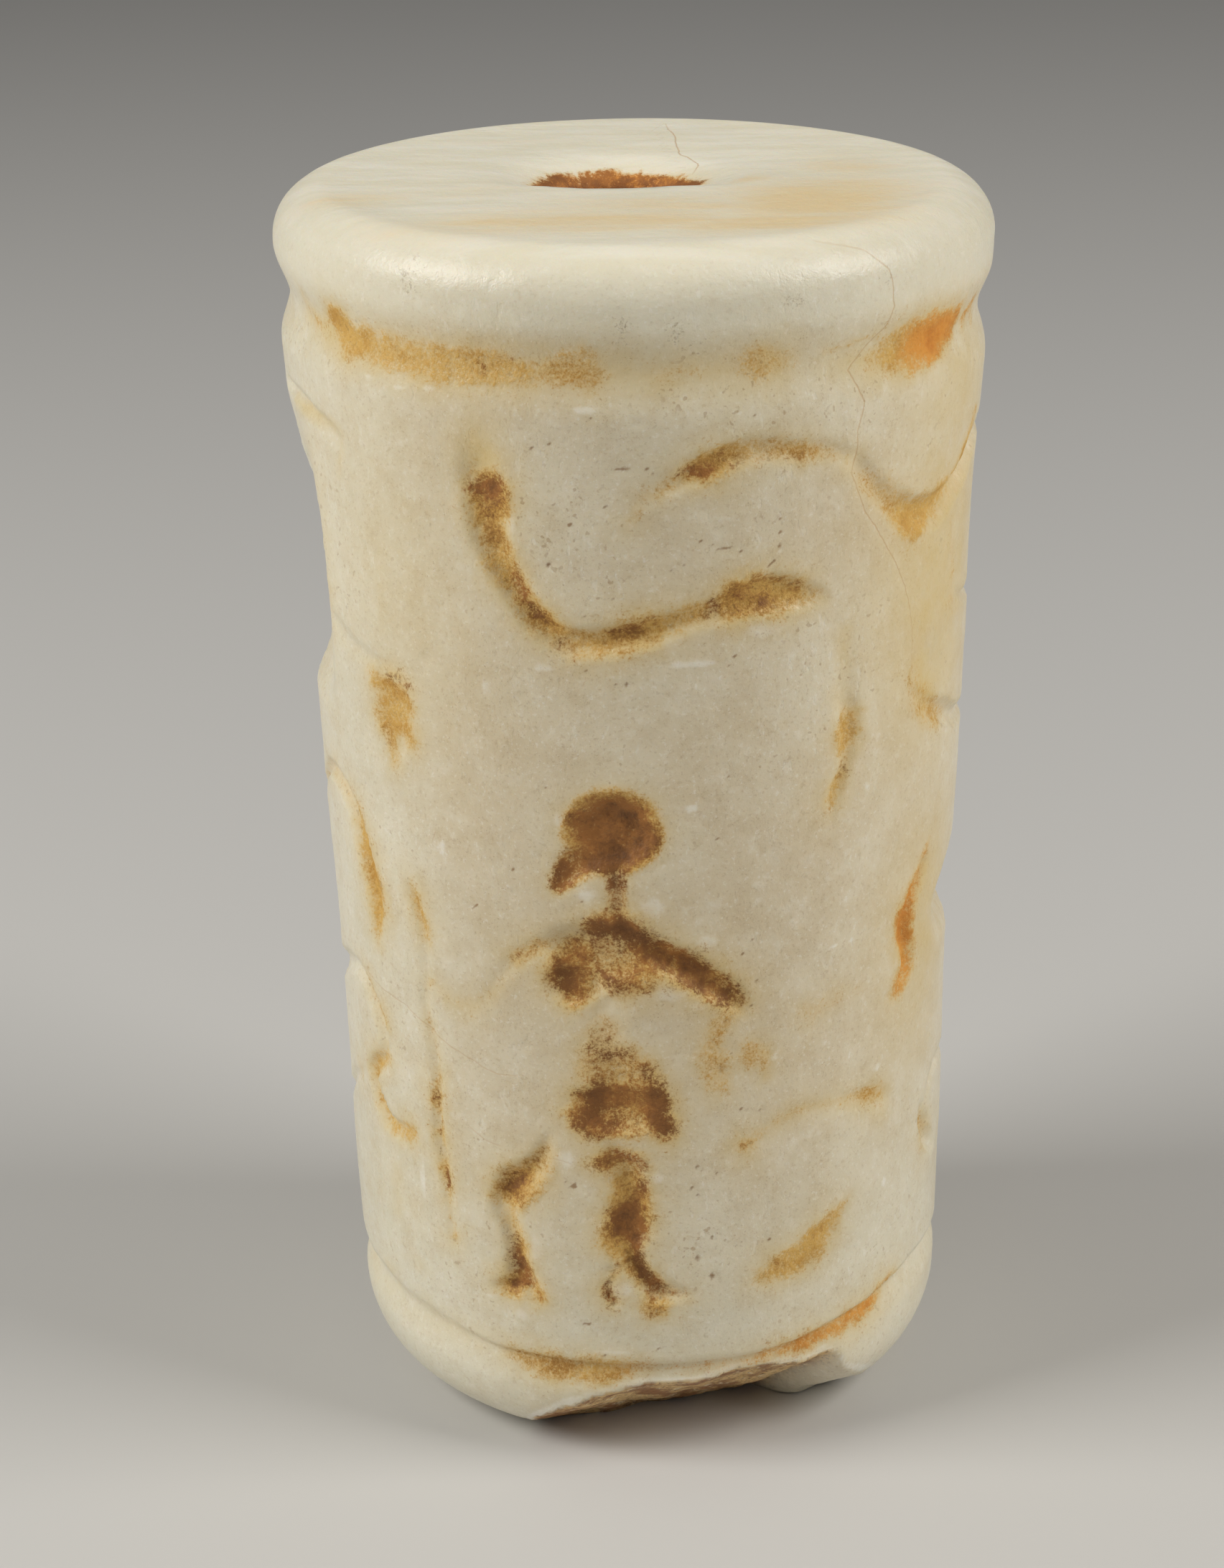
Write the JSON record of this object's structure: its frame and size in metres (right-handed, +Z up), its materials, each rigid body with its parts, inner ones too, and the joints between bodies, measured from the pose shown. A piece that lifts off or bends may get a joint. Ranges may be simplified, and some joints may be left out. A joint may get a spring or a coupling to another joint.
{
  "type": "cylinder seal",
  "caption": "Small pale stone cylinder with a rounded band at each end, a hole drilled from end to end, and figures cut into its side for rolling on clay.",
  "frame": {"origin": "middle of the flat underside", "axes": "+Z up along the drilled hole, from the narrower lower end to the wider upper end; -Y faces the standing figure"},
  "size_m": [0.018, 0.018, 0.0327],
  "materials": {
    "pale_stone": "worn polish, semi-gloss, with orange and brown stain in the cuts"
  },
  "bodies": {
    "root": {"seal": "pale_stone"}
  },
  "joints": []
}
